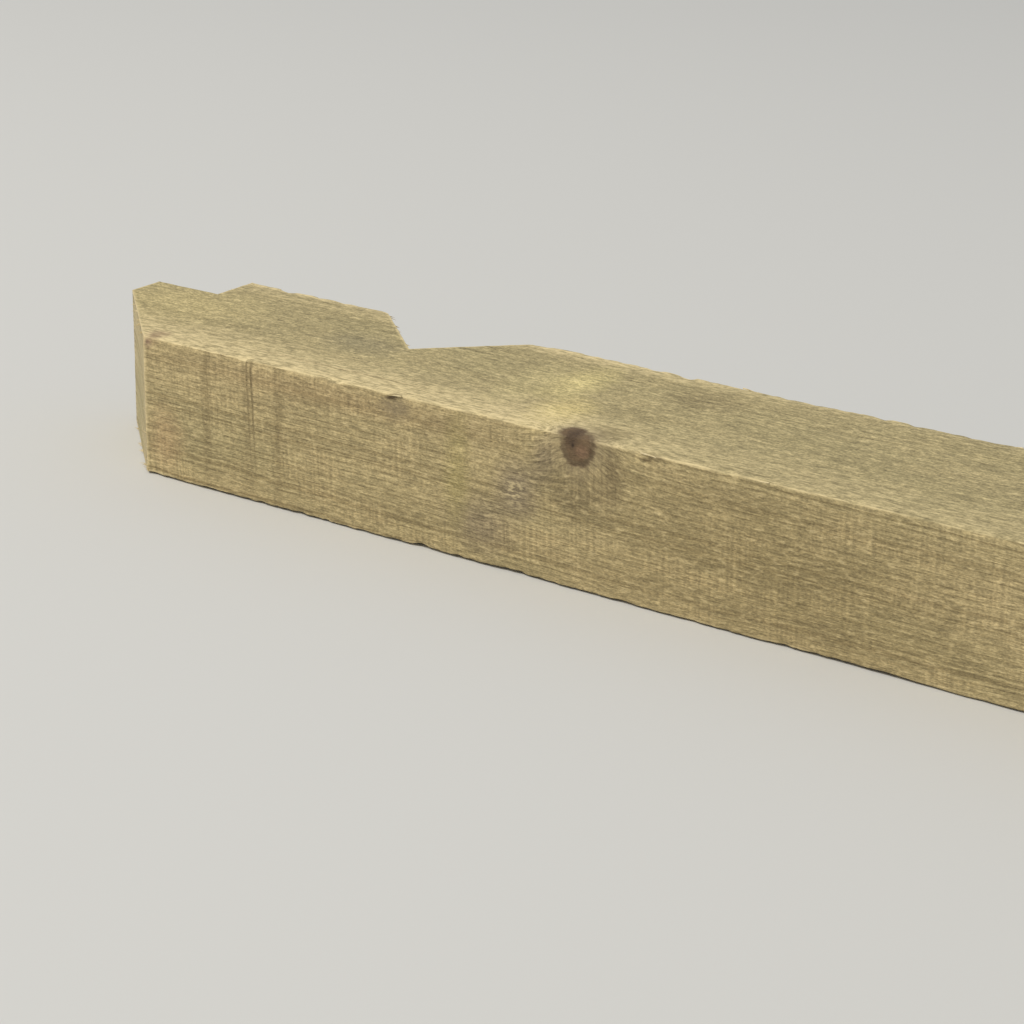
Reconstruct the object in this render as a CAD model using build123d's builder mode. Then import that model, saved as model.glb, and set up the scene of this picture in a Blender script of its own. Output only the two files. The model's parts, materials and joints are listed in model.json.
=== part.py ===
from build123d import *
from math import radians, tan
import os

# A sawn softwood fence post lying on one of its wider sides, as it is stacked and stored.
# X runs along the post from its shaped top end, at -X, to its square foot, at +X.
# Y runs across the wider side, from the plain back to the face that the rail notches are cut in.
# Z is up. The origin is under the middle of the post, in the plane that it lies on.

# Sawn section and length
post_length = 2400
post_width = 150
post_thickness = 100
arris_wear = 1.2

# Top end, sawn across the full thickness
rebate_width = 40
rebate_depth = 55
tip_width = 30
weathering_angle = 45

# Notches for square rails laid in on their corner
rail_side = 90
notch_count = 3
first_notch_from_tip = 240
notch_pitch = 630

# Planes of the tip, the plain back and the notched face
tip_x = -post_length / 2
back_y = -post_width / 2
notched_face_y = post_width / 2

# What the rebate and the tip leave of the width is sawn off at the weathering angle
weathering_width = post_width - rebate_width - tip_width
weathering_run = weathering_width / tan(radians(weathering_angle))
tip_back_y = back_y + weathering_width

# Half of a square rail lies in each notch, so the notch's root is half the rail's diagonal deep
notch_centres = [tip_x + first_notch_from_tip + notch_pitch * index for index in range(notch_count)]

with BuildPart() as post:
    # The blank as it leaves the saw, with its four long arrises just taken off
    with BuildSketch(Plane.YZ.offset(tip_x)):
        with Locations((0, post_thickness / 2)):
            Rectangle(post_width, post_thickness)
    extrude(amount=post_length)
    chamfer(post.edges().filter_by(Axis.X), arris_wear)

    # The weathering: a wedge cut off the back corner of the top end
    with BuildSketch(Plane.XY):
        with BuildLine():
            Polyline(
                (tip_x, back_y),
                (tip_x + weathering_run, back_y),
                (tip_x, tip_back_y),
                close=True,
            )
        make_face()
    extrude(amount=post_thickness, mode=Mode.SUBTRACT)

    # The rebate: a square step behind the tip, open to the end and to the notched face
    with BuildSketch(Plane.XY):
        with Locations((tip_x, notched_face_y)):
            Rectangle(rebate_depth, rebate_width, align=(Align.MIN, Align.MAX))
    extrude(amount=post_thickness, mode=Mode.SUBTRACT)

    # The rail notches: squares standing on their corners, centred on the notched face
    with BuildSketch(Plane.XY):
        with Locations(*[(centre_x, notched_face_y) for centre_x in notch_centres]):
            Rectangle(rail_side, rail_side, rotation=45)
    extrude(amount=post_thickness, mode=Mode.SUBTRACT)

post.part.label = "post"

os.makedirs("parts", exist_ok=True)
export_step(post.part, "parts/post.step")

print("post volume, litres:", round(post.part.volume / 1e6, 2))
print("notch centres from the tip:", [centre_x - tip_x for centre_x in notch_centres])
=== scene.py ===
import json
import math
import random
from functools import partial

import bpy
import numpy as np
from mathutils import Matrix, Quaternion, Vector


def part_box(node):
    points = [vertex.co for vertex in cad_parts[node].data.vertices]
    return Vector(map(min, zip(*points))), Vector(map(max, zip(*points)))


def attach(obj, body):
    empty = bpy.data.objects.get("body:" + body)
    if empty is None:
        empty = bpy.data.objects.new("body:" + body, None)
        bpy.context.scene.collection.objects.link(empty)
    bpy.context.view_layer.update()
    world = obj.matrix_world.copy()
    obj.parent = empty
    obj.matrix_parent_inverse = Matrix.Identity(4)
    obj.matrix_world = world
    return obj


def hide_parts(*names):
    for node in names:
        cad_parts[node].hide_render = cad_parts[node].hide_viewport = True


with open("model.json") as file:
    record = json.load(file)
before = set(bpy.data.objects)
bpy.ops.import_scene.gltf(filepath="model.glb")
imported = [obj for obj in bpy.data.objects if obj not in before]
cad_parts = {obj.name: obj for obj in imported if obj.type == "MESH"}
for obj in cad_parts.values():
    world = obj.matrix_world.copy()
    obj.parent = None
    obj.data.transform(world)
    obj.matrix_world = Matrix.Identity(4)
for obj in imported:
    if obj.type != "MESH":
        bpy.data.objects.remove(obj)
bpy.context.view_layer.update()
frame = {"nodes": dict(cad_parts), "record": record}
low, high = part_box("post")
middle = (low + high) / 2
mounts = {mount["name"]: Vector(mount["pos_m"]) for mount in frame["record"]["mounts"]}
print("frame loaded")

nearly = 0.0003     # metres: places no further apart than this count as one
hair = 0.00002      # metres: points closer than this are merged


# Shape of the post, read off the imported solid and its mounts

corners = [vertex.co.copy() for vertex in frame["nodes"]["post"].data.vertices]
tipBackY = min(corner.y for corner in corners if corner.x < low.x + nearly)
weatherFootX = min(corner.x for corner in corners if corner.y < low.y + nearly)
ledgeX = mounts["rebate_ledge"].x
cheekY = mounts["rebate_cheek"].y
notchFlanks = [name for name in sorted(mounts) if name.endswith("upper_flank")]
notchDepth = 2 * (high.y - mounts[notchFlanks[0]].y)
notchRootXs = [mounts[name].x + notchDepth / 2 for name in notchFlanks]
notchRootY = high.y - notchDepth

# What to change on the timber: lengths in metres and angles in degrees
timber = {
    "fineLength": 0.62,     # from the tip, meshed finely as it is seen closest
    "fineStep": 0.0025,
    "notchMargin": 0.0064,  # meshed at half step beside the other notches
    "notchStep": 0.005,
    "plainStep": 0.01,
    "rowStep": 0.0025,
    "layers": 32,           # rows up the thickness
    "pastCheek": 0.010,     # how far the rebate's ledge is scored past its cheek
    "pastRoot": 0.005,      # how far a notch's flanks are scored past its root
    "sliver": 0.0002,       # narrower strips left by the scoring are closed up
    "arris": 0.0012,        # blunting of the long arrises
    "cutRim": 0.0005,       # blunting of the edges of the cuts
    "rimAngle": 40,         # what is still sharper than this then is an edge of a cut
    "crossGrain": 0.4,      # faces whose normal lies along the post by more than this are crosscut
    "rootReach": 0.002,     # and so is this much round the root of a notch
    "wornReach": (0.0016, 0.0045, 0.0085),      # distances from an arris, and the share of its wear at each
    "wornShare": (1.0, 0.35, 0.0),
    "smoothAngle": 32,

    # Patterns pressed in: lengths along x, y and z, depth, how sharply each turns on, and its level.
    # Faces are hollowed first, then arrises are blunted and worn, and last the grain is raised
    "hollows": {
        "undulation": ((0.3, 0.09, 0.09), 0.001, 1.0, 1.0),
    },
    "wear": {
        "nicks": ((0.018, 0.012, 0.012), 0.0011, 4.0, 0.35),
        "wane": ((0.11, 0.04, 0.04), 0.0008, 2.0, 0.8),
        "nibbles": ((0.007, 0.006, 0.006), 0.0004, 2.5, 0.8),
    },
    "raised": {
        "grainRidges": ((0.055, 0.006, 0.006), 0.00035, 1.0, 1.0),
        "fuzz": ((0.007, 0.0045, 0.0045), 0.00022, 1.0, 1.0),
    },

    # Chips out of the upper arris of the plain back: place along the post, half length and depth
    "chips": (
        (-0.9135, 0.0045, 0.0013),
        (-0.729, 0.0065, 0.001),
        (-0.996, 0.003, 0.0008),
        (-1.07, 0.004, 0.0008),
        (-0.648, 0.005, 0.001),
    ),
}


def deselectAll():
    if bpy.context.object and bpy.context.object.mode != "OBJECT":
        bpy.ops.object.mode_set(mode="OBJECT")
    bpy.ops.object.select_all(action="DESELECT")


def activate(*pieces):
    deselectAll()
    for piece in pieces:
        piece.select_set(True)
    bpy.context.view_layer.objects.active = pieces[0]


def points(piece):
    flat = np.empty(len(piece.data.vertices) * 3)
    piece.data.vertices.foreach_get("co", flat)
    return flat.reshape(-1, 3)


def faceValues(piece, name):
    flat = np.empty(len(piece.data.polygons) * 3)
    piece.data.polygons.foreach_get(name, flat)
    return flat.reshape(-1, 3)


def edgeEnds(piece):
    flat = np.empty(len(piece.data.edges) * 2, dtype=np.int32)
    piece.data.edges.foreach_get("vertices", flat)
    return points(piece)[flat.reshape(-1, 2)]


# Selects faces, edges or points of the active piece and leaves it in edit mode
def selectInEdit(piece, chosen, kind="FACE"):
    bpy.ops.object.mode_set(mode="EDIT")
    bpy.ops.mesh.select_mode(type=kind)
    bpy.ops.mesh.select_all(action="DESELECT")
    bpy.ops.object.mode_set(mode="OBJECT")
    parts = {"FACE": piece.data.polygons, "EDGE": piece.data.edges, "VERT": piece.data.vertices}[kind]
    parts.foreach_set("select", np.asarray(chosen, dtype=bool))
    bpy.ops.object.mode_set(mode="EDIT")


# Merges points of the piece in edit mode
def mergeAll(distance):
    bpy.ops.mesh.select_all(action="SELECT")
    bpy.ops.mesh.remove_doubles(threshold=distance)


def addGrid(startX, endX, step):
    columns = max(1, round((endX - startX) / step))
    rows = round((high.y - low.y) / timber["rowStep"])
    centre = ((startX + endX) / 2, middle.y, high.z)
    bpy.ops.mesh.primitive_grid_add(x_subdivisions=columns, y_subdivisions=rows, size=1, location=centre)
    grid = bpy.context.object
    grid.scale = (endX - startX, high.y - low.y, 1)
    bpy.ops.object.transform_apply(location=True, rotation=True, scale=True)
    return grid


# The top face as a flat sheet, with closer columns where more is seen
def makeSheet():
    deselectAll()
    stops = [(low.x + timber["fineLength"], timber["fineStep"])]
    reach = notchDepth + timber["notchMargin"]
    for rootX in notchRootXs:
        if rootX - reach > stops[-1][0]:
            stops.append((rootX - reach, timber["plainStep"]))
            stops.append((rootX + reach, timber["notchStep"]))
    stops.append((high.x, timber["plainStep"]))
    startX = low.x
    grids = []
    for endX, step in stops:
        grids.append(addGrid(startX, endX, step))
        startX = endX
    activate(*grids)
    bpy.ops.object.join()
    sheet = bpy.context.object
    bpy.ops.object.mode_set(mode="EDIT")
    mergeAll(hair)
    bpy.ops.object.mode_set(mode="OBJECT")
    return sheet


# Scores a line across the sheet's faces inside a box, and takes nothing off
def scoreLine(sheet, through, normal, startX, endX, startY, endY):
    x, y = faceValues(sheet, "center")[:, :2].T
    selectInEdit(sheet, (x > startX) & (x < endX) & (y > startY) & (y < endY))
    bpy.ops.mesh.bisect(plane_co=through, plane_no=normal, threshold=hair)
    bpy.ops.object.mode_set(mode="OBJECT")


def deleteFaces(sheet, chosen):
    selectInEdit(sheet, chosen)
    bpy.ops.mesh.delete(type="FACE")
    bpy.ops.object.mode_set(mode="OBJECT")


def cutPlan(sheet):
    # The weathering, a slanting cut across the back corner of the tip
    run, rise = weatherFootX - low.x, tipBackY - low.y
    foot = Vector((weatherFootX, low.y, high.z))
    towardsCorner = Vector((-rise, -run, 0)).normalized()
    scoreLine(sheet, foot, towardsCorner, low.x, weatherFootX, low.y, tipBackY)
    beyond = (faceValues(sheet, "center") - np.array(foot)) @ np.array(towardsCorner)
    deleteFaces(sheet, beyond > 0)

    # The rebate, a square step at the other corner
    scoreLine(sheet, (ledgeX, 0, high.z), (1, 0, 0), low.x, high.x, cheekY - timber["pastCheek"], high.y)
    scoreLine(sheet, (0, cheekY, high.z), (0, 1, 0), low.x, ledgeX, low.y, high.y)
    centres = faceValues(sheet, "center")
    deleteFaces(sheet, (centres[:, 0] < ledgeX) & (centres[:, 1] > cheekY))

    # The rail notches
    reach = notchDepth + timber["notchStep"]
    behind = notchRootY - timber["pastRoot"]
    for rootX in notchRootXs:
        root = (rootX, notchRootY, high.z)
        for slope in (1, -1):
            scoreLine(sheet, root, (1, slope, 0), rootX - reach, rootX + reach, behind, high.y)
        centres = faceValues(sheet, "center")
        deleteFaces(sheet, np.abs(centres[:, 0] - rootX) < centres[:, 1] - notchRootY)


# Extrudes the sheet down to the resting side and rows the walls
def thicken(sheet):
    bpy.ops.object.mode_set(mode="EDIT")
    mergeAll(timber["sliver"])
    bpy.ops.mesh.extrude_region_move(TRANSFORM_OT_translate={"value": (0, 0, low.z - high.z)})
    bpy.ops.object.mode_set(mode="OBJECT")
    ends = edgeEnds(sheet)
    upright = np.abs(ends[:, 0, 2] - ends[:, 1, 2]) > nearly
    selectInEdit(sheet, upright, "EDGE")
    bpy.ops.mesh.subdivide(number_cuts=timber["layers"] - 1)
    bpy.ops.mesh.select_mode(type="FACE")
    mergeAll(hair)
    bpy.ops.mesh.normals_make_consistent(inside=False)
    bpy.ops.object.mode_set(mode="OBJECT")


# Long arrises: edges with both ends at an outer corner of the section
def findArrises(post):
    ends = edgeEnds(post)
    atSide = np.abs(np.abs(ends[:, :, 1] - middle.y) - (high.y - middle.y)) < nearly
    atFlat = np.abs(np.abs(ends[:, :, 2] - middle.z) - (high.z - middle.z)) < nearly
    return (atSide & atFlat).all(axis=1)


# Blunts the selected edges of the piece in edit mode
def bluntSelected(width, segments):
    bpy.ops.mesh.bevel(offset=width, segments=segments, affect="EDGES", clamp_overlap=False)
    mergeAll(hair)
    bpy.ops.object.mode_set(mode="OBJECT")


# Presses a pattern into a piece; the empty carries the pattern's size and then goes
def pressPattern(piece, name, pattern, group="", direction="NORMAL", way=-1):
    size, depth, contrast, level = pattern
    texture = bpy.data.textures.new(name, "CLOUDS")
    texture.noise_scale = 1.0
    texture.noise_depth = 1
    texture.contrast = contrast
    texture.intensity = level
    texture.use_clamp = True
    deselectAll()
    bpy.ops.object.empty_add(location=middle)
    holder = bpy.context.object
    holder.scale = size
    activate(piece)
    modifier = piece.modifiers.new(name, "DISPLACE")
    modifier.texture = texture
    modifier.texture_coords = "OBJECT"
    modifier.texture_coords_object = holder
    modifier.vertex_group = group
    modifier.direction = direction
    modifier.mid_level = 0
    modifier.strength = way * depth
    bpy.context.view_layer.update()
    bpy.ops.object.modifier_apply(modifier=modifier.name)
    bpy.data.objects.remove(holder)


def makePost():
    post = makeSheet()
    print("sheet", len(post.data.polygons))
    cutPlan(post)
    thicken(post)
    print("thickened", len(post.data.polygons))
    arrises = findArrises(post)
    for name, pattern in timber["hollows"].items():
        pressPattern(post, name, pattern)
    selectInEdit(post, arrises, "EDGE")
    bluntSelected(timber["arris"], 2)

    # The rims of the saw cuts are all that is still sharp
    selectInEdit(post, np.zeros(len(post.data.edges)), "EDGE")
    bpy.ops.mesh.edges_select_sharp(sharpness=math.radians(timber["rimAngle"]))
    bluntSelected(timber["cutRim"], 1)
    print("blunted", len(post.data.polygons))
    post.name = "post_timber"
    post.data.name = "post_timber"
    return post


# Assigns the second material slot to what the saw cut across the grain, down to the roots of the notches
def markCuts(post):
    centres, normals = faceValues(post, "center"), faceValues(post, "normal")
    cut = np.abs(normals[:, 0]) > timber["crossGrain"]
    upright = np.abs(normals[:, 2]) < 0.5
    for rootX in notchRootXs:
        fromRoot = np.hypot(centres[:, 0] - rootX, centres[:, 1] - notchRootY)
        cut |= upright & (fromRoot < timber["rootReach"])
    post.data.polygons.foreach_set("material_index", cut.astype(np.int32))


# Wears the four long arrises, which move inwards as much sideways as up or down, so that nothing folds over
def wearArrises(post):
    spots = points(post)
    fromSide = high.y - np.abs(spots[:, 1])
    fromFlat = middle.z - np.abs(spots[:, 2] - middle.z)
    away = np.maximum(fromSide, fromFlat)
    worn = np.interp(away, timber["wornReach"], timber["wornShare"]).round(1)
    sides = (("back", "Y", -1), ("face", "Y", 1), ("under", "Z", -1), ("upper", "Z", 1))
    for name, direction, side in sides:
        outward = spots[:, 1] if direction == "Y" else spots[:, 2] - middle.z
        group = post.vertex_groups.new(name=name)
        for share in np.unique(worn[worn > 0]):
            within = np.flatnonzero((worn == share) & (side * outward > 0))
            group.add(within.tolist(), float(share), "REPLACE")
        for pattern, values in timber["wear"].items():
            pressPattern(post, pattern, values, name, direction, -side)
    post.vertex_groups.clear()


# Sinks a short stretch of the plain back's upper arris
def chipArris(post, placeX, halfLength, depth):
    spots = points(post)
    corner = np.hypot(spots[:, 1] - low.y, spots[:, 2] - high.z)
    nearby = (corner < timber["arris"]) & (np.abs(spots[:, 0] - placeX) < halfLength / 2)
    selectInEdit(post, nearby, "VERT")
    bpy.ops.transform.translate(
        value=(0, depth, -depth),
        use_proportional_edit=True,
        proportional_edit_falloff="SMOOTH",
        proportional_size=halfLength,
    )
    bpy.ops.object.mode_set(mode="OBJECT")


post = makePost()
markCuts(post)
wearArrises(post)
for placeX, halfLength, depth in timber["chips"]:
    chipArris(post, placeX, halfLength, depth)
for name, pattern in timber["raised"].items():
    pressPattern(post, name, pattern)
activate(post)
bpy.ops.object.shade_smooth_by_angle(angle=math.radians(timber["smoothAngle"]))
print("post", len(post.data.polygons), sum(len(p.vertices) - 2 for p in post.data.polygons))


# Fibres that the saw left on the rims of its cuts: lengths in metres
fibres = {
    "seed": 11,
    "clumps": 55,               # to the metre of rim
    "clump": (2, 7),            # how many stand together
    "clumpWidth": 0.0016,
    "radius": (0.00016, 0.00036),
    "length": (0.0018, 0.006),
    "sunk": 0.0012,             # how deep each is rooted
    "stray": 0.30,              # how far they lean off the grain, as a share of their length
    "inset": 0.0012,            # from the faces beside a rim
    "shortOfTip": 0.010,        # where the rims stop, before the tip, the rebate's cheek and a notch's root
    "shortOfCheek": 0.003,
    "shortOfRoot": 0.006,
    "sides": 5,
    "tipShare": 0.15,           # radius at the tip as a share of the root's
    "bends": (0.35, 0.70),      # as shares of its length
    "over": ((0.2, 0.6), (0.6, 0.9), (0.9, 1.5)),   # height, and how many radii all above it goes over

    # Splinters half lifted off the upper arrises: root's place along the post, length and which way it
    # points, radius, and the arris, -1 at the back and 1 at the notched face
    "splinters": (
        (-0.907, -0.01, 0.0006, -1),
        (-0.7345, 0.014, 0.0006, -1),
        (-1.054, 0.007, 0.0004, -1),
        (-0.65, -0.011, 0.0005, -1),
        (-0.431, 0.013, 0.00055, -1),
        (-0.122, -0.009, 0.0005, -1),
        (0.248, 0.012, 0.0006, -1),
        (0.602, 0.008, 0.00045, -1),
        (0.931, -0.014, 0.0006, -1),
        (-1.118, -0.008, 0.00045, 1),
        (-0.742, 0.011, 0.0005, 1),
        (-0.553, -0.009, 0.00055, 1),
        (-0.165, 0.013, 0.0005, 1),
        (0.093, -0.008, 0.00045, 1),
        (0.524, 0.012, 0.0006, 1),
        (0.887, 0.009, 0.0005, 1),
        (1.09, -0.012, 0.00055, 1),
    ),
    "splinterIn": 0.0010,       # a splinter's root, in from the side and down from the top
    "splinterDown": 0.0012,
    "splinterRise": 0.02,
}


# A fibre a metre long and in radius, tapering upwards and bent over
def makeFibre():
    deselectAll()
    bpy.ops.mesh.primitive_cone_add(
        vertices=fibres["sides"], radius1=1, radius2=fibres["tipShare"], depth=1, location=(0, 0, 0.5)
    )
    fibre = bpy.context.object
    bpy.ops.object.transform_apply(location=True, rotation=True, scale=True)
    for height in fibres["bends"]:
        bpy.ops.object.mode_set(mode="EDIT")
        bpy.ops.mesh.select_all(action="SELECT")
        bpy.ops.mesh.bisect(plane_co=(0, 0, height), plane_no=(0, 0, 1))
        bpy.ops.object.mode_set(mode="OBJECT")
    for height, over in fibres["over"]:
        selectInEdit(fibre, points(fibre)[:, 2] > height, "VERT")
        bpy.ops.transform.translate(value=(over, 0, 0))
        bpy.ops.object.mode_set(mode="OBJECT")
    return fibre


def placeFibre(pattern, root, way, length, radius, twist):
    piece = pattern.copy()
    piece.data = pattern.data.copy()
    bpy.context.collection.objects.link(piece)
    piece.rotation_mode = "QUATERNION"
    piece.rotation_quaternion = Vector(way).to_track_quat("Z", "Y") @ Quaternion((0, 0, 1), twist)
    piece.location = root
    piece.scale = (radius, radius, length)
    return piece


# The rims that fibres stand on: both ends of each, and which way its fibres point along the grain
def cutRims():
    inset = fibres["inset"]
    back, face, under, over = low.y + inset, high.y - inset, low.z + inset, high.z - inset
    atTip = (low.x + fibres["shortOfTip"], tipBackY - fibres["shortOfTip"])
    rims = [
        ((weatherFootX, back, under), (weatherFootX, back, over), -1),
        ((ledgeX, face, under), (ledgeX, face, over), -1),
    ]
    for level in (under, over):
        rims.append(((weatherFootX, back, level), (*atTip, level), -1))
        rims.append(((ledgeX, cheekY + fibres["shortOfCheek"], level), (ledgeX, face, level), -1))
    for rootX in notchRootXs:
        for way in (1, -1):
            mouthX = rootX - way * (notchDepth - inset)
            atRoot = (rootX - way * fibres["shortOfRoot"], notchRootY + fibres["shortOfRoot"])
            rims.append(((mouthX, face, under), (mouthX, face, over), way))
            for level in (under, over):
                rims.append(((mouthX, face, level), (*atRoot, level), way))
    return rims


# A fibre leans at will, but never towards a face that it stands close to
def lean(draw, spot, lowest, highest):
    share = draw.uniform(-1, 1) * fibres["stray"]
    if spot < lowest + fibres["length"][1]:
        return abs(share)
    if spot > highest - fibres["length"][1]:
        return -abs(share)
    return share


def makeFray():
    draw = random.Random(fibres["seed"])
    pattern = makeFibre()
    shortest, longest = fibres["length"]
    pieces = []
    for start, end, way in cutRims():
        start, end = Vector(start), Vector(end)
        rim = (end - start).length
        for _ in range(round(rim * fibres["clumps"])):
            share = draw.random()
            for _ in range(draw.randint(*fibres["clump"])):
                place = min(1, max(0, share + draw.gauss(0, fibres["clumpWidth"] / rim)))
                root = start.lerp(end, place)
                root.x -= way * fibres["sunk"]
                grain = (way, lean(draw, root.y, low.y, high.y), lean(draw, root.z, low.z, high.z))
                length = shortest + (longest - shortest) * draw.random() ** 2      # most are short
                pieces.append(placeFibre(pattern, root, grain, length, draw.uniform(*fibres["radius"]), 0.0))
    for rootX, length, radius, side in fibres["splinters"]:
        root = (rootX, side * (high.y - fibres["splinterIn"]), high.z - fibres["splinterDown"])
        grain = (math.copysign(1, length), 0, fibres["splinterRise"])
        pieces.append(placeFibre(pattern, root, grain, abs(length), radius, -math.pi / 2))
    bpy.data.objects.remove(pattern)
    activate(*pieces)
    bpy.ops.object.transform_apply(location=True, rotation=True, scale=True)
    bpy.ops.object.join()
    fray = bpy.context.object
    fray.name = "frayed_fibres"
    fray.data.name = "frayed_fibres"
    fray.rotation_mode = "XYZ"
    return fray


fray = makeFray()
print("fibres", len(fray.data.polygons))


# Materials

def linear(hexColour):
    channels = [int(hexColour[i:i + 2], 16) / 255 for i in (1, 3, 5)]
    return tuple(c / 12.92 if c <= 0.04045 else ((c + 0.055) / 1.055) ** 2.4 for c in channels) + (1.0,)


# Adds a node, or a math node if the kind is an operation in capitals. Values and sockets go to its inputs in
# order or by name, and lower-case names are settings
def addNode(tree, kind, *values, give=0, **named):
    if kind.isupper():
        kind, named["operation"] = "Math", kind
    node = tree.nodes.new("ShaderNode" + kind)
    inputs = list(enumerate(values))
    for name, value in named.items():
        if name[0].islower():
            setattr(node, name, value)
        else:
            inputs.append((name, value))
    for name, value in inputs:
        if isinstance(value, bpy.types.NodeSocket):
            tree.links.new(value, node.inputs[name])
        else:
            node.inputs[name].default_value = value
    return node.outputs[give] if len(node.outputs) else node


# The tree that the post was sawn from: lengths in metres
growth = {
    "pith": (0, -0.018, -0.050),    # the tree's centre runs under the post, nearer its plain back
    "reach": 0.120,                 # from the pith to the middle of the post's faces
    "taper": 0.008,                 # radius lost for each metre of height
    "wander": (                     # how far the pith wanders, and over what lengths along x, y and z
        (0.01, (0.9, 0.12, 0.12)),
        (0.0014, (0.06, 0.015, 0.015)),
    ),
    "ringWidth": 0.0036,
    "climate": 0.016,               # better and worse years take turns over this much radius
    "climateShift": 1.4,            # and shift the rings by this many at most
    "faintest": 0.55,               # the faintest ring, as a share of the darkest
    # Places in a ring and how dark
    "lateWood": ((0.0, 0.35), (0.1, 0.0), (0.45, 0.1), (0.78, 0.65), (0.93, 1.0), (1.0, 0.85)),
    "knotSwell": 0.011,             # how far a knot pushes the rings out
    "knotFade": 0.2,                # how soon that dies away beside it
    "knotReach": 0.070,             # from the surface back to where a knot starts
    "knotThinnest": 0.0001,         # its radius there, so that nothing is divided by 0

    # Knots: where each comes out of the surface, the way it points and its radius there. The first two are
    # one that laps over the arris
    "knots": (
        ((-0.7772, -0.075, 0.0936), (0.08, -1, 0.75), 0.0116),
        ((-0.7845, -0.0675, 0.1), (0.05, -0.3, 1), 0.0078),
        ((-0.47, 0.02, 0.1), (0.2, 0.1, 1), 0.0075),
        ((-0.05, 0.012, 0.1), (0.25, 0.15, 1), 0.013),
        ((0.42, -0.075, 0.034), (0.15, -1, 0.05), 0.009),
        ((-0.61, 0.075, 0.062), (0.15, 1, 0.2), 0.009),
        ((0.76, 0.075, 0.032), (0.2, 1, 0.1), 0.012),
        ((0.66, -0.041, 0.1), (0.15, -0.1, 1), 0.008),
        ((1.03, -0.075, 0.068), (0.15, -1, 0.2), 0.011),
    ),
}


# Distance from the heart of the nearest knot, in that knot's radii
def addKnotShare(tree, spot):
    add = partial(addNode, tree)
    nearest = 1000.0        # far from any
    for surface, way, radius in growth["knots"]:
        outward = Vector(way).normalized()
        offset = add("VectorMath", spot, surface, operation="SUBTRACT")
        along = add("VectorMath", offset, outward, operation="DOT_PRODUCT", give="Value")
        across = add("VectorMath", offset, outward, operation="CROSS_PRODUCT")
        away = add("VectorMath", across, operation="LENGTH", give="Value")
        width = add("MULTIPLY_ADD", along, radius / growth["knotReach"], radius)
        width = add("MAXIMUM", width, growth["knotThinnest"])
        share = add("DIVIDE", away, width)
        nearest = add("MINIMUM", nearest, share)
    return nearest


# Rings all through the post, which run on from face to face. Gives the share of dark late wood, the distance
# from the nearest knot, and places along, out and round the tree for grain patterns
def addGrowthRings(tree, spot):
    add = partial(addNode, tree)
    knotShare = addKnotShare(tree, spot)
    moved = spot
    for shift, size in growth["wander"]:
        scaled = add("Mapping", spot, Scale=[1 / length for length in size])
        noise = add("TexNoise", scaled, Scale=1.0, Detail=1.0, give="Color")
        centred = add("VectorMath", noise, (0.5, 0.5, 0.5), operation="SUBTRACT")
        moved = add("VectorMath", centred, (2 * shift,) * 3, moved, operation="MULTIPLY_ADD")
    fromPith = add("VectorMath", moved, growth["pith"], operation="SUBTRACT")
    section = add("VectorMath", fromPith, (0, 1, 1), operation="MULTIPLY")
    radius = add("VectorMath", section, operation="LENGTH", give="Value")
    radius = add("MULTIPLY_ADD", add("SeparateXYZ", spot), growth["taper"], radius)
    swell = add("MULTIPLY", add("MULTIPLY", knotShare, knotShare), -growth["knotFade"])
    radius = add("MULTIPLY_ADD", add("EXPONENT", swell), -growth["knotSwell"], radius)

    out = add("SeparateXYZ", fromPith).node.outputs
    turned = add("ARCTAN2", out["Y"], out["Z"])
    arc = add("MULTIPLY", turned, growth["reach"])
    grain = add("CombineXYZ", add("SeparateXYZ", spot), radius, arc)

    eras = add("DIVIDE", radius, growth["climate"])
    climate = add("TexNoise", W=eras, Detail=1.0, noise_dimensions="1D")
    evenRings = add("DIVIDE", radius, growth["ringWidth"])
    rings = add("MULTIPLY_ADD", climate, growth["climateShift"], evenRings)
    late = add("ValToRGB", add("FRACT", rings))
    ramp = late.node.color_ramp
    for place, _ in growth["lateWood"][1:-1]:
        ramp.elements.new(place)
    for stop, (place, tone) in zip(ramp.elements, growth["lateWood"]):
        stop.position = place
        stop.color = (tone, tone, tone, 1)
    year = add("FLOOR", rings)
    strength = add("TexWhiteNoise", W=year, noise_dimensions="1D", give="Value")
    strength = add("MapRange", strength, 0.0, 1.0, growth["faintest"], 1.0)
    return add("MULTIPLY", late, strength), knotShare, grain


patternRoughness = 0.55     # how much a pattern's finer parts count


# Noise patterns by name: size along x, y and z in metres, and detail
def addPatterns(tree, spot, patterns):
    made = {}
    for name, (size, detail) in patterns.items():
        scaled = addNode(tree, "Mapping", spot, Scale=[1 / length for length in size])
        made[name] = addNode(tree, "TexNoise", scaled, Scale=1.0, Detail=detail, Roughness=patternRoughness)
    return made


# A share that follows a pattern. A row names the pattern, the two of its values between which the share
# changes, and the share at both
def addShare(tree, noise, row):
    pattern, *span = row
    return addNode(tree, "MapRange", noise[pattern], *span)


# A share that dies away from an edge. A row names the pattern that breaks it up and by how much, the
# distances where it starts to fall and where it is gone, and the share before
def addFrayAndHighlight(tree, noise, distance, row):
    pattern, ragged, start, gone, share = row
    distance = addNode(tree, "MULTIPLY_ADD", noise[pattern], -ragged, distance)
    return addNode(tree, "MapRange", distance, start, gone, share, 0.0)


# Tints a colour where a pattern is strong: a tint is a colour and a row for its share
def addTints(tree, noise, tints, colour):
    for tint, *row in tints:
        colour = addNode(tree, "MixRGB", addShare(tree, noise, row), colour, linear(tint))
    return colour


# How far a noise moves the edge of a stained patch or of a patch of painted light, and between which
# distances it fades out, in half sizes
stainOrLightEdge = {"ragged": 0.9, "fade": (0.75, 1.65)}
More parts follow.
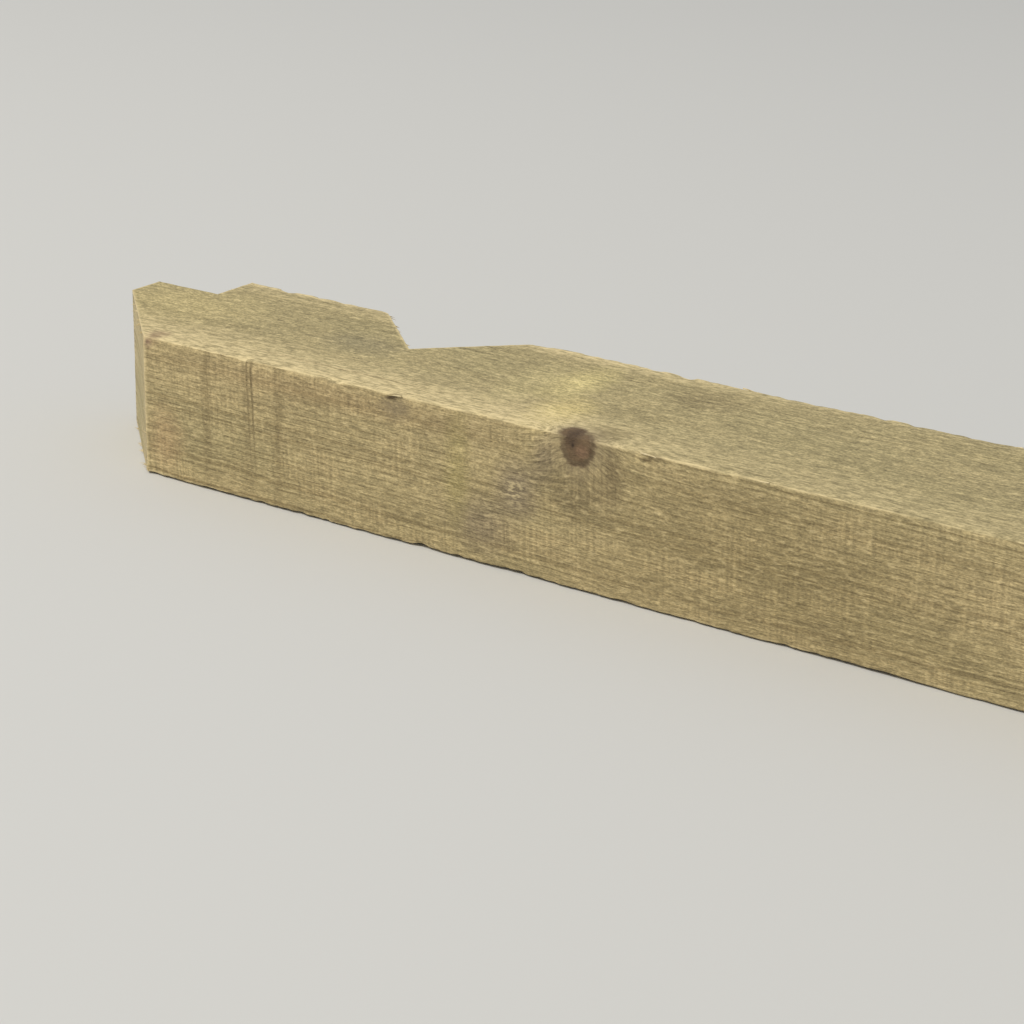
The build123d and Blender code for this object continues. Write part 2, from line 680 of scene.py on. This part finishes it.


# Stains a colour round a place, or paints light there, and gives its share as well
def addStainOrPaintedLight(tree, spot, noise, stainOrLight, colour):
    add = partial(addNode, tree)
    place, size, tint, strength = stainOrLight
    offset = add("VectorMath", spot, place, operation="SUBTRACT")
    offset = add("VectorMath", offset, [1 / length for length in size], operation="MULTIPLY")
    reach = add("VectorMath", offset, operation="LENGTH", give="Value")
    reach = add("MULTIPLY_ADD", noise, stainOrLightEdge["ragged"], reach)
    share = add("MapRange", reach, *stainOrLightEdge["fade"], strength, 0.0)
    return add("MixRGB", share, colour, linear(tint)), share


# How deep a spot lies under the two sides, and under the top or the underside, in metres
def addDepths(tree, spot):
    add = partial(addNode, tree)
    split = add("SeparateXYZ", spot).node.outputs
    fromSide = add("SUBTRACT", high.y, add("ABSOLUTE", split["Y"]))
    fromMiddle = add("ABSOLUTE", add("SUBTRACT", split["Z"], middle.z))
    fromFlat = add("SUBTRACT", middle.z, fromMiddle)
    return fromSide, fromFlat


def startMaterial(name):
    material = bpy.data.materials.new(name)
    material.use_nodes = True
    material.node_tree.nodes.clear()
    return material


# Ends a material, with its patterns raised by the relief in millimetres
def finishMaterial(tree, colour, roughness, noise, relief):
    add = partial(addNode, tree)
    height = 0.0
    for name, depth in relief.items():
        height = add("MULTIPLY_ADD", noise[name], depth, height)
    bump = add("Bump", Height=height, Distance=0.001, Strength=1.0)
    shader = add("BsdfPrincipled", colour, Roughness=roughness, IOR=1.5, Normal=bump)
    add("OutputMaterial", shader)


# Rough band-sawn softwood: dry and matt, woolly with torn fibres, marked across the grain by the saw, and
# tinted olive by the preservative, which dulls the rings
sawn = {
    "early": "#beab7d",
    "late": "#7f6b45",
    "tints": (
        ("#a39b6f", "mottle", 0.45, 0.7, 0.0, 0.25),
        ("#ac9068", "clouds", 0.5, 0.72, 0.0, 0.12),
    ),
    "topFacing": (0.4, 0.8),        # how far up a face points that is partly or wholly the top
    "topTint": "#a2986f",             # the top's colour
    "topTintShare": 0.5,
    "fibre": "#e8d4a2",
    "pit": "#66573a",
    "knot": "#7a6448",
    "knotDark": "#503e2b",
    "halo": "#8b7b60",
    "grain": {          # size along, out and round the tree, and detail
        "fibres": ((0.014, 0.0008, 0.0008), 3.0),
        "strands": ((0.035, 0.0026, 0.0026), 2.0),
        "tufts": ((0.0062, 0.0024, 0.0024), 2.0),
        "nap": ((0.0018, 0.001, 0.001), 2.0),
        "streaks": ((0.3, 0.006, 0.006), 2.0),
    },
    "patches": {        # size along x, y and z, and detail
        "clouds": ((0.04, 0.02, 0.02), 2.0),
        "mottle": ((0.25, 0.08, 0.08), 2.0),
    },
    "toneSpan": (0.32, 0.68),       # where on a pattern the wood is darkest and lightest
    "tones": {          # the darkest and the lightest that each makes the wood, and its share on the top
        "fibres": (0.82, 1.18, 1.1),
        "strands": (0.92, 1.07, 0.55),
        "tufts": (0.84, 1.16, 1.2),
        "nap": (0.76, 1.24, 1.25),
        "clouds": (0.94, 1.05, 1.0),
        "streaks": (0.94, 1.05, 1.0),
        "fineMarks": (0.97, 1.02, 0.2),
        "broadMarks": (0.86, 1.06, 0.15),
    },
    "relief": {         # millimetres
        "rings": 0.12,
        "fibres": 0.36,
        "strands": 0.3,
        "tufts": 0.6,
        "nap": 0.34,
        "fineMarks": 0.04,
        "broadMarks": 0.25,
        "grooves": -0.5,
        "knotLines": -0.4,
    },
    "shares": {
        "ringContrast": ("mottle", 0.35, 0.65, 0.45, 0.95),
        "roughness": ("fibres", 0.3, 0.7, 0.92, 0.74),
        "slits": ("fibres", 0.36, 0.26, 0.0, 0.3),
        "patchyMarks": ("clouds", 0.44, 0.66, 0.05, 1.4),
        "openStops": ("tufts", 0.35, 0.6, 0.35, 1.0),       # torn fibres hide the rest of them
        "specks": ("tufts", 0.56, 0.74, 0.0, 0.35),
        "tornSpecks": ("tufts", 0.47, 0.6, 0.0, 1.0),
        "streakyBand": ("fibres", 0.38, 0.58, 0.25, 1.0),
        "tuftedBand": ("tufts", 0.36, 0.6, 0.35, 1.0),
        "brokenRim": ("strands", 0.4, 0.55, 0.25, 1.0),
        "knotSpecks": ("nap", 0.3, 0.7, 0.8, 1.2),
        "brokenLine": ("clouds", 0.42, 0.58, 0.1, 1.0),
    },
    "sawMarks": {"fineMarks": 0.0046, "broadMarks": 0.0120},    # spacing of the saw's marks
    "sawSlant": 0.049,              # how far they lean
    "sawWaver": 0.0030,             # how uneven they are
    "stops": (          # deep marks where the saw stopped: place along the post, and strength
        (-1.0227, 1.0),
        (-1.0263, 0.8),
        (-1.0606, 0.45),
        (-1.0025, 0.35),
        (-0.9695, 0.3),
    ),
    "stopWidth": (0.0003, 0.0010),  # half widths of a groove at its bed and at its rims
    "stopWaver": 0.0008,
    "stopRise": (0.030, 0.115, 0.10, 1.0),  # levels between which they deepen, and their share at both
    "stopRagged": 0.06,
    "grooveShare": 0.75,            # how dark the grooves are
    "bands": (0.055, 0.022),        # width of the pale fibres on top, along the back and along the face
    "bandTurn": (-0.01, 0.01),      # across the post, where the one width gives way to the other
    "bandStart": 0.002,             # from the arris, where they start to die away
    "bandShare": 1.35,
    "bandRagged": 0.03,             # how uneven their edges are
    "rubbed": (-0.80, -0.70, 1.0, 0.35),    # where along the post they grow weaker, and how much
    "fraysAndHighlights": {          # pale fibres, and partly a painted highlight, on the arrises and along the cuts
        "arrises": ("clouds", 0.0058, -0.0022, -0.0004, 0.95),
        "cuts": ("strands", 0.003, -0.0014, 0.0012, 0.8),
    },
    "ledgeMargin": 0.001,           # past the rebate's cheek, where its ledge starts to count
    "ledgeFade": 10.0,
    "knotRagged": {"clouds": 0.60, "tufts": 0.35},      # how uneven a knot's edge is, in its radii
    "knotEdge": (0.74, 1.24),       # where a knot's colour ends, and that of the duller wood round it
    "haloEdge": (1.0, 2.3),
    "haloShare": 0.55,
    "knotRings": 3.4,               # to a radius
    "knotTones": (0.20, 0.55),      # how dark they are
    "lineAt": 0.98,                 # the dark line round a knot
    "lineWidth": (0.02, 0.18),
    "lineShare": 0.6,

    # Stains on the faces, and a band of painted sunlight that slants across the top beside the knot: middle,
    # half size, colour and strength
    "stainsAndPaintedLight": (
        ((-0.8, -0.075, 0.081), (0.01, 0.02, 0.016), "#85765f", 0.65),
        ((-0.819, -0.075, 0.057), (0.018, 0.03, 0.02), "#857662", 0.66),
        ((-0.843, -0.075, 0.027), (0.028, 0.03, 0.02), "#877862", 0.6),
        ((-0.776, -0.075, 0.064), (0.03, 0.02, 0.02), "#7f7050", 0.7),
        ((-0.753, -0.075, 0.08), (0.011, 0.016, 0.02), "#7a6a4b", 0.7),
        ((-1.1165, -0.075, 0.096), (0.005, 0.009, 0.006), "#8c6d62", 0.6),
        ((-0.97, -0.075, 0.088), (0.13, 0.01, 0.01), "#987c58", 0.28),
        ((-1.103, -0.075, 0.028), (0.016, 0.03, 0.026), "#c2a276", 0.5),
        ((-0.864, -0.075, 0.058), (0.01, 0.03, 0.04), "#a89c5c", 0.35),
        ((-0.64, -0.075, 0.045), (0.13, 0.03, 0.05), "#89784f", 0.5),
        ((-1.066, -0.075, 0.06), (0.0045, 0.01, 0.06), "#857450", 0.45),
        ((-1.03, -0.075, 0.06), (0.006, 0.01, 0.06), "#857450", 0.35),
        ((-1.005, -0.075, 0.055), (0.0055, 0.01, 0.06), "#857450", 0.45),
        ((-0.995, 0.0, 0.1), (0.035, 0.022, 0.01), "#8f8567", 0.55),
        ((-0.96, -0.0525, 0.1), (0.09, 0.0018, 0.01), "#806d48", 0.7),
        ((-1.15, 0.0, 0.1), (0.07, 0.05, 0.01), "#c9b882", 0.5),
        # Painted sunlight: three pale yellow patches that make one band slanting across the top beside the
        # knot
        ((-0.856, 0.0, 0.1), (0.018, 0.06, 0.01), "#c6b784", 0.6),
        ((-0.812, -0.042, 0.1), (0.02, 0.034, 0.01), "#e3cf8c", 0.7),
        ((-0.83, 0.018, 0.1), (0.018, 0.042, 0.01), "#d8c88b", 0.7),
        ((-0.745, 0.035, 0.1), (0.03, 0.025, 0.01), "#8c7c58", 0.45),
    ),
    "tornGrain": ((-0.8205, -0.075, 0.055), (0.0095, 0.02, 0.01), "#87795f", 0.6),

    # Marks over the pale fibres: painted shade, a greyer patch under the arris beside the first chip;
    # painted shadows under two splinters lifted off that arris, slanting across it in two and in three
    # parts; and dull patches at the tip's corner and beside the knot
    "marks": (
        # Painted shade: a greyer patch under the arris beside the first chip
        ((-0.9113, -0.075, 0.09), (0.013, 0.01, 0.009), "#887a62", 0.5),
        # Painted shadows under the two lifted splinters, dark and slanting across the arris
        ((-0.9155, -0.075, 0.096), (0.0044, 0.004, 0.002), "#493a22", 0.95),
        ((-0.912, -0.075, 0.0976), (0.0044, 0.004, 0.002), "#493a22", 0.95),
        ((-0.7312, -0.075, 0.095), (0.0056, 0.004, 0.0013), "#55452b", 0.72),
        ((-0.7268, -0.075, 0.0965), (0.0056, 0.004, 0.0013), "#55452b", 0.72),
        ((-0.7224, -0.075, 0.0979), (0.0056, 0.004, 0.0013), "#55452b", 0.72),
        ((-1.113, -0.067, 0.1), (0.009, 0.011, 0.01), "#94795f", 0.6),
        ((-0.765, -0.056, 0.1), (0.014, 0.014, 0.01), "#837450", 0.6),
    ),

    # In the knot over the arris: a dark heart, redder wood, a dark rim right and below, and a small check
    "knotStains": (
        ((-0.7822, -0.072, 0.097), (0.0056, 0.012, 0.0066), "#4b3a29", 0.8),
        ((-0.7745, -0.075, 0.0905), (0.0052, 0.006, 0.0052), "#876a50", 0.8),
        ((-0.7672, -0.075, 0.0905), (0.0022, 0.006, 0.0056), "#4a3823", 0.9),
        ((-0.7718, -0.075, 0.0838), (0.0062, 0.006, 0.0022), "#4a3823", 0.9),
        ((-0.7808, -0.075, 0.0935), (0.0012, 0.006, 0.0016), "#33261a", 0.9),
    ),
}


# Adds the saw's marks to the noises, upright on the sides: fine and broad ones in patches, and the grooves
# where it stopped
def addSawMarks(tree, split, top, noise):
    add = partial(addNode, tree)
    leaning = add("MULTIPLY_ADD", split["Z"], sawn["sawSlant"], split["X"])
    uneven = add("MULTIPLY_ADD", noise["tufts"], sawn["sawWaver"], leaning)
    for name, spacing in sawn["sawMarks"].items():
        along = add("DIVIDE", uneven, spacing)
        mark = add("TexNoise", W=along, Detail=0.0, noise_dimensions="1D")
        mark = add("SUBTRACT", mark, 0.5)
        noise[name] = add("MULTIPLY_ADD", mark, noise["patchyMarks"], 0.5)

    uneven = add("MULTIPLY_ADD", noise["strands"], sawn["stopWaver"], leaning)
    grooves = 0.0
    for stop, strength in sawn["stops"]:
        off = add("ABSOLUTE", add("SUBTRACT", uneven, stop))
        groove = add("MapRange", off, *sawn["stopWidth"], strength, 0.0)
        grooves = add("MAXIMUM", grooves, groove)
    level = add("MULTIPLY_ADD", noise["clouds"], sawn["stopRagged"], split["Z"])
    deeper = add("MapRange", level, *sawn["stopRise"])
    offTop = add("SUBTRACT", 1.0, top)
    for mask in (deeper, noise["openStops"], offTop):
        grooves = add("MULTIPLY", grooves, mask)
    noise["grooves"] = grooves


# Distance from the nearest crosscut, in metres
def addCutDistance(tree, spot):
    add = partial(addNode, tree)
    split = add("SeparateXYZ", spot).node.outputs
    run, rise = weatherFootX - low.x, tipBackY - low.y
    inward = Vector((rise, run, 0)).normalized()
    fromFoot = add("VectorMath", spot, (weatherFootX, low.y, 0), operation="SUBTRACT")
    distances = [
        add("VectorMath", fromFoot, inward, operation="DOT_PRODUCT", give="Value"),
        add("SUBTRACT", split["X"], low.x),
        add("SUBTRACT", high.x, split["X"]),
    ]

    # The rebate's ledge counts only on its own side of the cheek
    pastLedge = add("SUBTRACT", split["X"], ledgeX)
    beforeCheek = add("SUBTRACT", cheekY + sawn["ledgeMargin"], split["Y"])
    beforeCheek = add("MULTIPLY", beforeCheek, sawn["ledgeFade"])
    distances.append(add("MAXIMUM", pastLedge, beforeCheek))

    aboveRoot = add("SUBTRACT", split["Y"], notchRootY)
    for rootX in notchRootXs:
        beside = add("ABSOLUTE", add("SUBTRACT", split["X"], rootX))
        beside = add("SUBTRACT", beside, aboveRoot)
        distances.append(add("MULTIPLY", beside, math.sqrt(0.5)))
    nearest = distances[0]
    for distance in distances[1:]:
        nearest = add("MINIMUM", nearest, distance)
    return nearest


# Pale fibres over the wood: in specks, in bands on top, on the arrises and frayed along the cuts, where they
# are partly a painted highlight
def addPaleFibres(tree, spot, top, noise, torn, colour):
    add = partial(addNode, tree)
    split = add("SeparateXYZ", spot).node.outputs
    fromArris = add("MAXIMUM", *addDepths(tree, spot))

    tornSpecks = add("MULTIPLY", noise["tornSpecks"], torn)
    specks = add("MAXIMUM", noise["specks"], tornSpecks)

    ragged = add("SUBTRACT", noise["streaks"], 0.5)
    ragged = add("MULTIPLY_ADD", ragged, -sawn["bandRagged"], fromArris)
    bandWidth = add("MapRange", split["Y"], *sawn["bandTurn"], *sawn["bands"])
    band = add("MapRange", ragged, sawn["bandStart"], bandWidth, sawn["bandShare"], 0.0)
    rubbed = add("MapRange", split["X"], *sawn["rubbed"])
    for mask in (top, noise["streakyBand"], noise["tuftedBand"], rubbed):
        band = add("MULTIPLY", band, mask)

    # Pale rims on the arrises and along the cuts: frayed fibres, and partly a painted highlight
    rim = addFrayAndHighlight(tree, noise, fromArris, sawn["fraysAndHighlights"]["arrises"])
    rim = add("MULTIPLY", rim, noise["brokenRim"])
    frayed = addFrayAndHighlight(tree, noise, addCutDistance(tree, spot), sawn["fraysAndHighlights"]["cuts"])
    for pale in (specks, band, rim, frayed):
        colour = add("MixRGB", pale, colour, linear(sawn["fibre"]))
    return colour


# Knots: duller wood round each, then the knot with its own rings and a dark line round part of it
def addKnots(tree, spot, noise, knotShare, colour):
    add = partial(addNode, tree)
    ragged = knotShare
    for name, share in sawn["knotRagged"].items():
        uneven = add("SUBTRACT", noise[name], 0.5)
        ragged = add("MULTIPLY_ADD", uneven, share, ragged)
    halo = add("MapRange", ragged, *sawn["haloEdge"], sawn["haloShare"], 0.0)
    colour = add("MixRGB", halo, colour, linear(sawn["halo"]))

    rings = add("PINGPONG", add("MULTIPLY", ragged, sawn["knotRings"]), 1.0)
    rings = add("MapRange", rings, 0.0, 1.0, *sawn["knotTones"])
    knotColour = add("MixRGB", rings, linear(sawn["knot"]), linear(sawn["knotDark"]))
    for stainOrLight in sawn["knotStains"]:
        knotColour = addStainOrPaintedLight(tree, spot, noise["clouds"], stainOrLight, knotColour)[0]
    knotColour = add("MixRGB", 1.0, knotColour, noise["knotSpecks"], blend_type="MULTIPLY")
    inside = add("MapRange", ragged, *sawn["knotEdge"], 1.0, 0.0)
    colour = add("MixRGB", inside, colour, knotColour)

    line = add("ABSOLUTE", add("SUBTRACT", ragged, sawn["lineAt"]))
    line = add("MapRange", line, *sawn["lineWidth"], sawn["lineShare"], 0.0)
    noise["knotLines"] = add("MULTIPLY", line, noise["brokenLine"])
    return add("MixRGB", noise["knotLines"], colour, linear(sawn["knotDark"]))


def makeSawnSoftwood():
    material = startMaterial("sawn_softwood")
    tree = material.node_tree
    add = partial(addNode, tree)
    spot = add("TexCoord", give="Object")
    split = add("SeparateXYZ", spot).node.outputs
    facing = add("SeparateXYZ", add("TexCoord", give="Normal"), give="Z")
    top = add("MapRange", facing, *sawn["topFacing"], 0.0, 1.0)
    late, knotShare, grain = addGrowthRings(tree, spot)
    noise = addPatterns(tree, grain, sawn["grain"]) | addPatterns(tree, spot, sawn["patches"])
    for name, row in sawn["shares"].items():
        noise[name] = addShare(tree, noise, row)
    addSawMarks(tree, split, top, noise)

    # How light or dark the patterns make the wood
    shade = 1.0
    for name, (dark, light, onTop) in sawn["tones"].items():
        share = add("MapRange", top, 0.0, 1.0, 1.0, onTop)
        darkest = add("MULTIPLY_ADD", share, dark - 1, 1.0)
        lightest = add("MULTIPLY_ADD", share, light - 1, 1.0)
        each = add("MapRange", noise[name], *sawn["toneSpan"], darkest, lightest)
        shade = add("MULTIPLY", shade, each)

    # Colour, from the wood outwards to what lies on it
    noise["rings"] = add("MULTIPLY", late, noise["ringContrast"])
    colour = add("MixRGB", noise["rings"], linear(sawn["early"]), linear(sawn["late"]))
    colour = addTints(tree, noise, sawn["tints"], colour)
    # The top face alone is mixed towards a greener, duller colour
    topTinting = add("MULTIPLY", top, sawn["topTintShare"])
    colour = add("MixRGB", topTinting, colour, linear(sawn["topTint"]))
    for stainOrLight in sawn["stainsAndPaintedLight"]:
        colour = addStainOrPaintedLight(tree, spot, noise["clouds"], stainOrLight, colour)[0]
    colour, torn = addStainOrPaintedLight(tree, spot, noise["clouds"], sawn["tornGrain"], colour)
    colour = add("MixRGB", 1.0, colour, shade, blend_type="MULTIPLY")
    colour = addPaleFibres(tree, spot, top, noise, torn, colour)
    for mark in sawn["marks"]:
        colour = addStainOrPaintedLight(tree, spot, noise["tufts"], mark, colour)[0]
    for dark in (noise["slits"], add("MULTIPLY", noise["grooves"], sawn["grooveShare"])):
        colour = add("MixRGB", dark, colour, linear(sawn["pit"]))
    colour = addKnots(tree, spot, noise, knotShare, colour)
    finishMaterial(tree, colour, noise["roughness"], noise, sawn["relief"])
    return material


# The same wood crosscut: the rings show plainly as arcs, end fibres stand up as a short nap, palest where
# they fray at the edges, which is partly a painted highlight, and the saw leaves scratches
crosscut = {
    "early": "#c9b88e",
    "late": "#745f41",
    "contrast": 0.95,
    "tints": (          # green of the preservative, dirt, and the pale nap
        ("#9d966c", "mottle", 0.4, 0.66, 0.05, 0.5),
        ("#6c5d43", "mottle", 0.4, 0.25, 0.0, 0.4),
        ("#c6b78f", "nap", 0.52, 0.72, 0.0, 0.28),
    ),
    "fibre": "#dccba2",
    "fray": ("nap", 0.0030, -0.0012, 0.0010, 0.8),      # where the cut meets the sawn faces: frayed fibres, and partly a painted highlight
    "patterns": {       # size along x, y and z, and detail
        "pores": ((0.004, 0.0006, 0.0006), 2.0),
        "nap": ((0.003, 0.0016, 0.0016), 3.0),
        "mottle": ((0.1, 0.05, 0.05), 3.0),
        "patches": ((0.05, 0.02, 0.02), 2.0),
    },
    "scratchSpacing": 0.0016,
    "scratchSlant": 0.22,
    "scratchWaver": 0.004,
    "toneSpan": (0.3, 0.7),
    "tones": {          # the darkest and the lightest that each makes the wood
        "pores": (0.9, 1.08),
        "scratches": (0.93, 1.05),
    },
    "relief": {"rings": 0.15, "pores": 0.25, "nap": 0.45, "scratches": 0.20},      # millimetres
    "roughness": 0.88,
}


def makeCrosscutSoftwood():
    material = startMaterial("crosscut_softwood")
    tree = material.node_tree
    add = partial(addNode, tree)
    spot = add("TexCoord", give="Object")
    split = add("SeparateXYZ", spot).node.outputs
    late = addGrowthRings(tree, spot)[0]
    noise = addPatterns(tree, spot, crosscut["patterns"])
    across = add("MULTIPLY_ADD", split["Z"], crosscut["scratchSlant"], split["Y"])
    across = add("MULTIPLY_ADD", noise["patches"], crosscut["scratchWaver"], across)
    across = add("DIVIDE", across, crosscut["scratchSpacing"])
    noise["scratches"] = add("TexNoise", W=across, Detail=2.0, noise_dimensions="1D")

    noise["rings"] = add("MULTIPLY", late, crosscut["contrast"])
    colour = add("MixRGB", noise["rings"], linear(crosscut["early"]), linear(crosscut["late"]))
    colour = addTints(tree, noise, crosscut["tints"], colour)
    for name, (dark, light) in crosscut["tones"].items():
        shade = add("MapRange", noise[name], *crosscut["toneSpan"], dark, light)
        colour = add("MixRGB", 1.0, colour, shade, blend_type="MULTIPLY")

    # Palest at the edges: frayed fibres, and partly a painted highlight
    fromEdge = add("MINIMUM", *addDepths(tree, spot))
    frayed = addFrayAndHighlight(tree, noise, fromEdge, crosscut["fray"])
    colour = add("MixRGB", frayed, colour, linear(crosscut["fibre"]))
    finishMaterial(tree, colour, crosscut["roughness"], noise, crosscut["relief"])
    return material


# Loose fibres of the same wood, paler because they are dry, and painted lighter still so that they do not go
# dark in their own shade
loose = {
    "colour": "#e9d8ae",
    "tints": (("#c0ac7c", "patches", 0.35, 0.65, 0.0, 1.0),),
    "patterns": {"patches": ((0.004, 0.004, 0.004), 1.0)},
    "roughness": 0.8,
}


def makeLooseFibre():
    material = startMaterial("loose_fibre")
    tree = material.node_tree
    noise = addPatterns(tree, addNode(tree, "TexCoord", give="Object"), loose["patterns"])
    colour = addTints(tree, noise, loose["tints"], linear(loose["colour"]))
    shader = addNode(tree, "BsdfPrincipled", colour, Roughness=loose["roughness"], IOR=1.5)
    addNode(tree, "OutputMaterial", shader)
    return material


post.data.materials.append(makeSawnSoftwood())
post.data.materials.append(makeCrosscutSoftwood())
fray.data.materials.append(makeLooseFibre())
print("materials")


# Floor, light and camera

stage = {
    "floorSize": 60,
    "floorDrop": 0.0003,    # under the post, so that the two never flicker
    "floorColour": "#d3d3d1",
    "floorRoughness": 0.9,
    "skyColour": "#f2f4f6",
    "skyStrength": 0.5,
    "lampPlace": (-4.2, -4.4, 7.3),
    "lampSize": 3.0,
    "lampPower": 560,
    "lampColour": "#fffaf0",
}

# The photo's viewpoint, turned towards the shaped end and zoomed in
view = {
    "place": (-0.138, -1.176, 0.545),
    "aim": (-0.8218, -0.075, 0.0411),
    "roll": 1.82,       # degrees
    "lens": 79,         # millimetres
    "sensor": 36,
    "nearest": 0.05,
}


def makeFloor():
    deselectAll()
    bpy.ops.mesh.primitive_plane_add(size=stage["floorSize"], location=(0, 0, low.z - stage["floorDrop"]))
    floor = bpy.context.object
    floor.name = "floor"
    bpy.ops.object.transform_apply(location=True, rotation=False, scale=False)
    material = startMaterial("pale_floor")
    tree = material.node_tree
    shader = addNode(tree, "BsdfPrincipled", linear(stage["floorColour"]), Roughness=stage["floorRoughness"])
    addNode(tree, "OutputMaterial", shader)
    floor.data.materials.append(material)


def makeLight():
    world = bpy.data.worlds.new("pale_sky")
    bpy.context.scene.world = world
    world.use_nodes = True
    background = world.node_tree.nodes["Background"]
    background.inputs["Color"].default_value = linear(stage["skyColour"])
    background.inputs["Strength"].default_value = stage["skyStrength"]
    deselectAll()
    bpy.ops.object.light_add(type="AREA", location=stage["lampPlace"])
    lamp = bpy.context.object
    lamp.data.shape = "DISK"
    lamp.data.size = stage["lampSize"]
    lamp.data.energy = stage["lampPower"]
    lamp.data.color = linear(stage["lampColour"])[:3]
    lamp.visible_camera = False
    towards = Vector(view["aim"]) - lamp.location
    lamp.rotation_euler = towards.to_track_quat("-Z", "Y").to_euler()


def makeCamera():
    deselectAll()
    bpy.ops.object.camera_add(location=view["place"])
    camera = bpy.context.object
    towards = Vector(view["aim"]) - camera.location
    level = towards.to_track_quat("-Z", "Y")
    camera.rotation_mode = "QUATERNION"
    camera.rotation_quaternion = level @ Quaternion((0, 0, 1), math.radians(view["roll"]))
    camera.data.lens = view["lens"]
    camera.data.sensor_width = view["sensor"]
    camera.data.clip_start = view["nearest"]
    bpy.context.scene.camera = camera


makeFloor()
makeLight()
makeCamera()
bpy.context.scene.view_settings.view_transform = "Standard"
print("stage")

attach(post, "root")
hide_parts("post")
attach(fray, "root")
